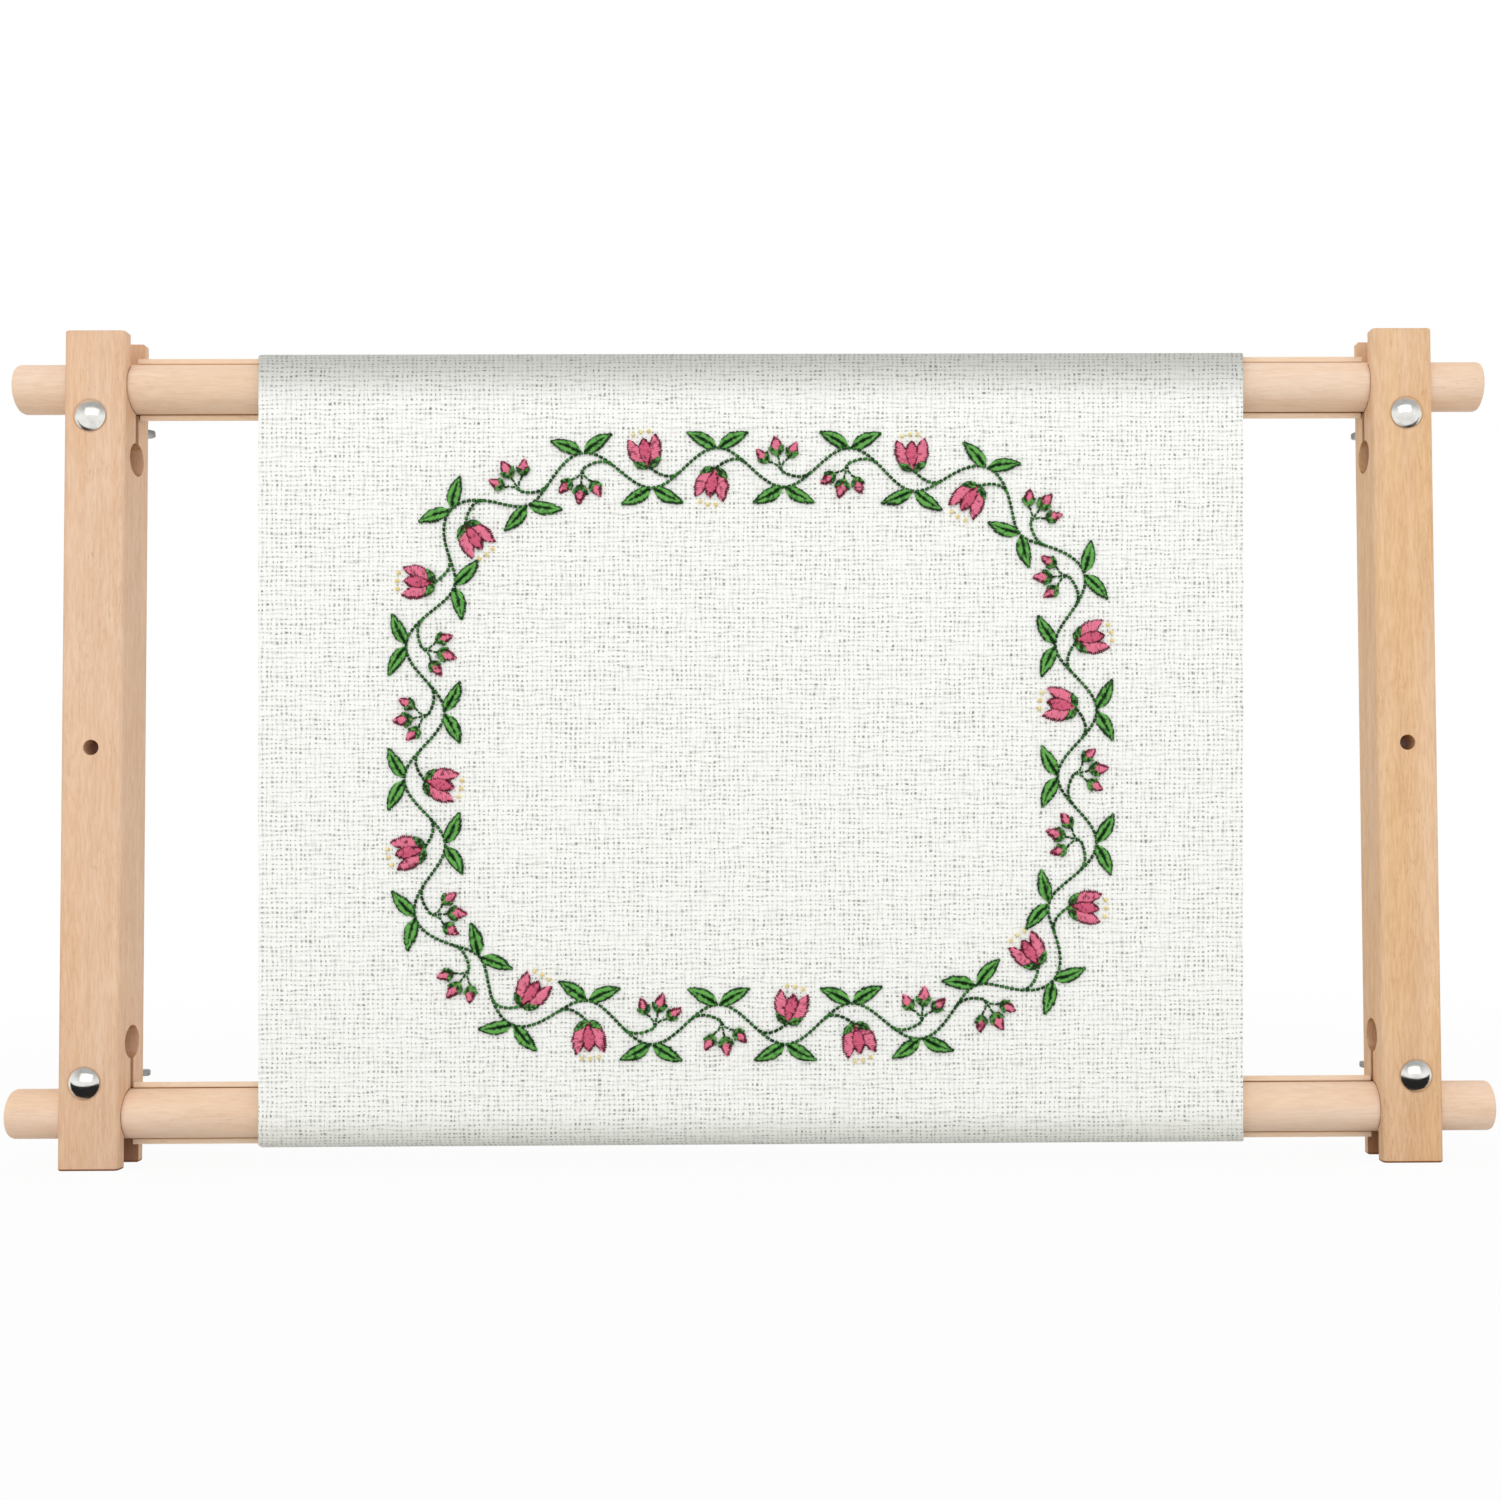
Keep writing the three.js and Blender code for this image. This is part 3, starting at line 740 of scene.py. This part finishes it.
class Blade:
    """A leaf or petal: an axis that may bend, and a half width along it."""

    def __init__(self, base, direction, length, width, bend=0.0, fullest=0.5):
        self.base, self.ahead = base, unit(direction)
        self.aside = turned(self.ahead, math.pi / 2)
        self.length, self.half, self.bend = length, width / 2, bend
        self.power = math.log(0.5) / math.log(fullest)

    def axis(self, share):
        return self.base + self.length * (self.ahead * share + self.aside * self.bend * share ** 2)

    def fullness(self, share):
        return math.sin(math.pi * min(max(share, 0), 1) ** self.power) ** FULLNESS_POWER

    def edge(self, share, side):
        share = min(max(share, 1 - LAST_SHARE), LAST_SHARE)
        outward = turned(unit(self.ahead + self.aside * 2 * self.bend * share), math.pi / 2)
        reach = self.half * self.fullness(share) + rng.normal(0, OUTLINE_SCATTER)
        return self.axis(share) + outward * side * reach

    def lift(self, share):
        return SATIN_LIFT + SATIN_CROWN * self.fullness(share)

    def satin(self, thread, slant, over=0.0):
        """Slightly slanted stitches from edge to edge."""
        count = round(self.length / SATIN_PITCH)
        for share in np.arange(1, count) / count:
            left = self.edge(share + slant / 2, 1)
            right = self.edge(share - slant / 2, -1)
            thread.stitch(left, right, SATIN_WIDTH, over + self.lift(share))

    def fishbone(self, thread, over=0.0):
        """Stitches from the middle vein forward to each edge."""
        count = round(self.length / SATIN_PITCH)
        for share in np.arange(count) / count:
            for side in (1, -1):
                tip = self.edge(share + FISHBONE_REACH, side)
                thread.stitch(self.axis(share), tip, SATIN_WIDTH, over + self.lift(share))


def stem(thread, points, width):
    """A rope of short slanted stitches along a curve."""
    points = np.array(points)
    run = np.concatenate([[0.0], np.cumsum(np.linalg.norm(np.diff(points, axis=0), axis=1))])
    count = max(round(run[-1] / STEM_STITCH), 1)
    marks = np.linspace(0, run[-1], count + 1)
    for begin, stop in zip(marks[:-1] - STEM_OVERLAP, marks[1:] + STEM_OVERLAP):
        start, end = (np.array([np.interp(m, run, points[:, k]) for k in (0, 1)]) for m in (begin, stop))
        half = turned((end - start) / 2, STEM_SLANT)
        middle = (start + end) / 2
        thread.stitch(middle - half, middle + half, width, 0.0)


def bow(start, control, end):
    """A curve that leaves start towards control and arrives at end from it."""
    t = np.linspace(0, 1, BOW_STEPS + 1)[:, None]
    return (1 - t) ** 2 * start + 2 * t * (1 - t) * control + t ** 2 * end


# The motifs: tulips, sprigs of buds and paired leaves

THREADS = {
    "rose": Thread((238, 130, 158), (108, 20, 46)),
    "deep_rose": Thread((220, 100, 132), (94, 16, 38)),
    "leaf": Thread((106, 178, 84), (6, 56, 8)),
    "stem": Thread((62, 138, 50), (6, 56, 8)),
    "yellow": Thread((253, 243, 176), (238, 214, 140)),
}
PETAL = {"length": 13.5 * MM, "width": 6.2 * MM}
MIDDLE_PETAL = {"length": 12 * MM, "width": 6.4 * MM, "fullest": 0.55}
SEPAL = {"length": 6.2 * MM, "width": 3 * MM}
PETAL_SPREAD, SEPAL_SPREAD, KNOT_SPREAD = 0.72, 1.3, 0.24
PETAL_BEND, SEPAL_BEND = 0.3, 0.25
PETAL_SLANT, MIDDLE_SLANT, BUD_SLANT = 0.2, 0.12, 0.2
KNOT = {"reach": 13.8 * MM, "length": 1.7 * MM, "width": 1.3 * MM}
BUD_SIZES = (7 * MM, 8 * MM, 7 * MM)
BUD_SPREADS = (-0.75, 0.0, 0.75)
BUD_STALK = 6.5 * MM
BUD_STALK_WIDTH_SHARE = 0.7
BUD_TURN_SHARE = 0.8
BUD_WIDTH_SHARE = 0.64
BUD_FULLEST = 0.42
CUP_SHARES = {"length": 0.6, "width": 0.28}
CUP_SPREAD, CUP_BEND = 0.6, 0.1
LEAF = {"length": 13.5 * MM, "width": 5.6 * MM, "fullest": 0.46}
LEAF_SLOPE, LEAF_BEND = 0.75, 0.16
LEAF_ROOT = 0.6 * MM


def tulip(base, direction):
    for side in (1, -1):
        petal = Blade(base, turned(direction, side * PETAL_SPREAD), **PETAL, bend=-side * PETAL_BEND)
        petal.satin(THREADS["rose"], side * PETAL_SLANT)
        sepal = Blade(base, turned(direction, side * SEPAL_SPREAD), **SEPAL, bend=-side * SEPAL_BEND)
        sepal.fishbone(THREADS["leaf"], OVERLAY_LIFT)
    Blade(base, direction, **MIDDLE_PETAL).satin(THREADS["deep_rose"], MIDDLE_SLANT, OVERLAY_LIFT)
    for turn in (-KNOT_SPREAD, 0, KNOT_SPREAD):
        knot = base + turned(direction, turn) * KNOT["reach"]
        THREADS["yellow"].stitch(knot, knot + direction * KNOT["length"], KNOT["width"], SATIN_LIFT)


def bud(base, direction, size):
    flower = Blade(base, direction, size, BUD_WIDTH_SHARE * size, fullest=BUD_FULLEST)
    flower.satin(THREADS["rose"], BUD_SLANT)
    for side in (1, -1):
        cup = Blade(base, turned(direction, side * CUP_SPREAD), CUP_SHARES["length"] * size,
                    CUP_SHARES["width"] * size, side * CUP_BEND)
        cup.fishbone(THREADS["leaf"], OVERLAY_LIFT)


def sprig(base, direction):
    for spread, size in zip(BUD_SPREADS, BUD_SIZES):
        tip = base + turned(direction, spread) * BUD_STALK
        stalk = bow(base, base + direction * BUD_STALK / 2, tip)
        stem(THREADS["stem"], stalk, BUD_STALK_WIDTH_SHARE * STEM_WIDTH)
        bud(tip, turned(direction, BUD_TURN_SHARE * spread), size)


def leaf_pair(place, ahead, outward):
    for side in (1, -1):
        direction = side * ahead + LEAF_SLOPE * outward
        hand = np.sign(ahead[0] * outward[1] - ahead[1] * outward[0])
        root = place + side * ahead * LEAF_ROOT
        blade = Blade(root, direction, **LEAF, bend=-side * hand * LEAF_BEND)
        blade.fishbone(THREADS["leaf"])


# The border: a vine that winds about a rounded rectangle, with a motif in each hollow

BORDER_HALF_WIDTH = 131 * MM
BORDER_HALF_HEIGHT = 112 * MM
BORDER_SQUARENESS = 4
BORDER_SAMPLES = 4000
WAVES = 16
WAVE_HEIGHT = 8 * MM
VINE_SAMPLES = 60
STALK_START_SHARE = 0.42
STALK_AIM_SHARE = 0.3
STALK_AIM = 6 * MM
TULIP_RISE = 0.5 * MM
SPRIG_RISE = -1.5 * MM
MOTIF_TURN = 0.2
MOTIF_SHIFT = 1 * MM


def border_table():
    """Points round a rounded rectangle, and the share of its length up to each."""
    angle = np.linspace(0, 2 * math.pi, BORDER_SAMPLES + 1)
    power = 2 / BORDER_SQUARENESS
    x = BORDER_HALF_WIDTH * np.sign(np.cos(angle)) * np.abs(np.cos(angle)) ** power
    z = BORDER_HALF_HEIGHT * np.sign(np.sin(angle)) * np.abs(np.sin(angle)) ** power
    points = np.stack([x, z + MIDDLE_Z], axis=1)
    run = np.concatenate([[0.0], np.cumsum(np.linalg.norm(np.diff(points, axis=0), axis=1))])
    return points, run / run[-1]


BORDER_POINTS, BORDER_SHARES = border_table()


def border_point(share):
    return np.array([np.interp(share % 1, BORDER_SHARES, BORDER_POINTS[:, k]) for k in (0, 1)])


def border(share):
    """A place on the border, the direction out of it and the direction along it."""
    step = 1 / BORDER_SAMPLES
    ahead = unit(border_point(share + step) - border_point(share - step))
    return border_point(share), turned(ahead, -math.pi / 2), ahead


def vine(share):
    place, out, _ = border(share)
    return place + out * WAVE_HEIGHT * math.sin(2 * math.pi * WAVES * share)


def embroider():
    halves = 2 * WAVES
    stem(THREADS["stem"], [vine(s) for s in np.linspace(0, 1, VINE_SAMPLES * WAVES + 1)], STEM_WIDTH)
    for k in range(halves):
        share = (k + 0.5) / halves
        crest_side = 1 if k % 2 == 0 else -1
        place, out, ahead = border(share)
        inward = -crest_side * out
        has_tulip = k // 2 % 2 == 0
        start = vine(share - STALK_START_SHARE / halves)
        aim = unit(vine(share - STALK_AIM_SHARE / halves) - start)
        base = place + inward * (TULIP_RISE if has_tulip else SPRIG_RISE) + ahead * MOTIF_SHIFT
        stem(THREADS["stem"], bow(start, start + aim * STALK_AIM, base), STEM_WIDTH)
        facing = turned(inward, -crest_side * MOTIF_TURN)
        if has_tulip:
            tulip(base, facing)
        else:
            sprig(base, facing)
        leaf_pair(vine(share), ahead, crest_side * out)


embroider()
for name, thread in THREADS.items():
    stitches = thread.build(f"stitches_{name}")
    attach(stitches, "left_bar")

# Finishes of the frame's own nodes

PINK_WARMTH = (255, 249, 240)
ORANGE_WARMTH = (255, 248, 232)
ROLLER_LOOK = {"fleck": (200, 164, 136), "warm": PINK_WARMTH, "grain": "X", "contrast": 0.72}
WOODS = {
    "beech_left": {
        "light": (237, 203, 174), "dark": (223, 183, 149), "fleck": (176, 126, 88), "warm": PINK_WARMTH,
        "grain": "Z", "pith": (-330 * MM, -60 * MM), "seed": 1.0, "painted_shade": BORE_PAINTED_SHADE,
    },
    "beech_right": {
        "light": (237, 201, 165), "dark": (219, 178, 139), "fleck": (174, 122, 80), "warm": ORANGE_WARMTH,
        "grain": "Z", "pith": (310 * MM, 80 * MM), "seed": 7.0, "painted_shade": BORE_PAINTED_SHADE,
    },
    "beech_roller_top": {
        "light": (243, 216, 192), "dark": (229, 196, 168), "pith": (340 * MM, 50 * MM), "seed": 3.0,
        **ROLLER_LOOK,
    },
    "beech_roller_bottom": {
        "light": (243, 216, 193), "dark": (229, 197, 170), "pith": (50 * MM, 40 * MM), "seed": 5.0,
        **ROLLER_LOOK,
    },
    "clip_wood": {
        "light": (244, 224, 202), "dark": (239, 207, 174), "fleck": (209, 171, 131), "warm": PINK_WARMTH,
        "grain": "X", "pith": (200 * MM, 90 * MM), "seed": 11.0, "contrast": 0.7, "painted_shade": CLIP_PAINTED_SHADE,
    },
}
METALS = {
    "nickel": {"light": (238, 237, 233), "dark": (222, 220, 214), "polish": 0.12},
    "nut_metal": {"light": (158, 157, 154), "dark": (126, 124, 120), "polish": 0.2},
}
finishes = {name: wood(name, **look) for name, look in WOODS.items()}
finishes.update({name: nickel(name, **look) for name, look in METALS.items()})

SMOOTH_ANGLE = math.radians(32)
FLAT_ANGLE = math.radians(0.5)
MERGE_DISTANCE = 0.002 * MM


def dress(name, finish_name):
    """Gives a CAD node its finish, and smooth shading between its facets."""
    node = nodes[name]
    node.data.materials.clear()
    node.data.materials.append(finishes[finish_name])
    node.data.polygons.foreach_set("use_smooth", [True] * len(node.data.polygons))
    weld = node.modifiers.new("weld", "WELD")
    weld.merge_threshold = MERGE_DISTANCE
    planar = node.modifiers.new("planar", "DECIMATE")
    planar.decimate_type = "DISSOLVE"
    planar.angle_limit = FLAT_ANGLE
    split = node.modifiers.new("split", "EDGE_SPLIT")
    split.split_angle = SMOOTH_ANGLE
    split.use_edge_sharp = False
    weighted = node.modifiers.new("weighted", "WEIGHTED_NORMAL")
    weighted.keep_sharp = False


for side in SIDES:
    dress(f"side_bar_{side}", f"beech_{side}")
for end in ENDS:
    dress(f"roller_{end}", f"beech_roller_{end}")
    dress(f"clip_{end}", "clip_wood")
    for side in SIDES:
        dress(f"carriage_bolt_{side}_{end}", "nickel")
        dress(f"washer_{side}_{end}", "nickel")
        dress(f"wing_nut_{side}_{end}", "nut_metal")

# Floor: pale, and near white to the camera apart from the frame's soft shadow.
# Glossy rays see a dark strip on it close in front of the frame.

FLOOR_SIZE = 8.0
FLOOR_COLOUR = (222, 222, 220)
FLOOR_SHINE = {"Roughness": 0.9, "Specular_IOR_Level": 0.0}
FLOOR_GLOW_SHARES = (0.94, 1.0)
FLOOR_GLOW_REACH = (0.3, 1.2)
DARK_STRIP_START = (-140 * MM, -115 * MM)
DARK_STRIP_END = -12 * MM
DARK_STRIP_SHARE = 0.978


def floor_finish():
    finish = Finish("floor")
    finish.set(Base_Color=colour(*FLOOR_COLOUR), **FLOOR_SHINE)
    x, y, _ = finish.separated(finish.object_place())
    path = finish.node("ShaderNodeLightPath").outputs
    seen = finish.math("MAXIMUM", path["Is Camera Ray"], path["Is Transmission Ray"])
    seen = finish.math("MAXIMUM", seen, path["Is Glossy Ray"])
    glow_share = finish.fade(finish.length(x, y), *FLOOR_GLOW_REACH, *FLOOR_GLOW_SHARES)
    in_strip = finish.product(finish.fade(y, *DARK_STRIP_START, 0.0, DARK_STRIP_SHARE),
                              finish.math("LESS_THAN", y, DARK_STRIP_END))
    shader = finish.shader.outputs["BSDF"]
    dark_share = finish.product(path["Is Glossy Ray"], in_strip)
    for strength, share in ((1.0, finish.product(seen, glow_share)), (0.0, dark_share)):
        light = finish.node("ShaderNodeEmission")
        finish.put(light.inputs["Strength"], strength)
        mixed = finish.node("ShaderNodeMixShader")
        finish.put(mixed.inputs["Fac"], share)
        finish.tree.links.new(shader, mixed.inputs[1])
        finish.tree.links.new(light.outputs["Emission"], mixed.inputs[2])
        shader = mixed.outputs["Shader"]
    finish.tree.links.new(shader, finish.output.inputs["Surface"])
    return finish.material


def make_floor():
    half = FLOOR_SIZE / 2
    corners = [(-half, -half, 0), (half, -half, 0), (half, half, 0), (-half, half, 0)]
    link_mesh("floor", corners, [(0, 1, 2, 3)], floor_finish())


# World: white to the camera. Glossy rays see a white studio that darkens overhead.

WORLD_LIGHT = 0.88
GLOSSY_SKY_SHARES = (1.0, 0.5)
GLOSSY_SKY_RISE = (0.08, 0.8)


def make_world():
    world = bpy.data.worlds.new("studio")
    world.use_nodes = True
    tree = world.node_tree
    tree.nodes.clear()

    def node(kind, **values):
        made = tree.nodes.new(kind)
        for name, value in values.items():
            socket = made.inputs[name.replace("_", " ")]
            if isinstance(value, bpy.types.NodeSocket):
                tree.links.new(value, socket)
            else:
                socket.default_value = value
        return made

    path = node("ShaderNodeLightPath").outputs
    clear = node("ShaderNodeMix", Factor=path["Is Camera Ray"], A=WORLD_LIGHT, B=1.0).outputs["Result"]
    clear = node("ShaderNodeMix", Factor=path["Is Transmission Ray"], A=clear, B=1.0).outputs["Result"]
    direction = node("ShaderNodeTexCoord").outputs["Generated"]
    rise = node("ShaderNodeSeparateXYZ", Vector=direction).outputs["Z"]
    sky = node("ShaderNodeMapRange", Value=rise,
               From_Min=GLOSSY_SKY_RISE[0], From_Max=GLOSSY_SKY_RISE[1],
               To_Min=GLOSSY_SKY_SHARES[0], To_Max=GLOSSY_SKY_SHARES[1])
    sky.interpolation_type = "SMOOTHSTEP"
    strength = node("ShaderNodeMix", Factor=path["Is Glossy Ray"], A=clear, B=sky.outputs["Result"])
    background = node("ShaderNodeBackground", Color=(1, 1, 1, 1), Strength=strength.outputs["Result"])
    output = node("ShaderNodeOutputWorld")
    tree.links.new(background.outputs["Background"], output.inputs["Surface"])
    bpy.context.scene.world = world


# Key light, soft, above and in front

KEY_PLACE = Vector((0.0, -2.2, 1.5))
KEY_WIDTH = 3.4
KEY_HEIGHT = 2.0
KEY_POWER = 19


def make_key_light():
    data = bpy.data.lights.new("key", "AREA")
    data.shape = "RECTANGLE"
    data.size = KEY_WIDTH
    data.size_y = KEY_HEIGHT
    data.energy = KEY_POWER
    light = bpy.data.objects.new("key", data)
    light.location = KEY_PLACE
    towards = Vector((0, 0, MIDDLE_Z)) - KEY_PLACE
    light.rotation_euler = towards.to_track_quat("-Z", "Y").to_euler()
    bpy.context.scene.collection.objects.link(light)


make_floor()
make_world()
make_key_light()
bpy.context.scene.view_settings.view_transform = "Standard"
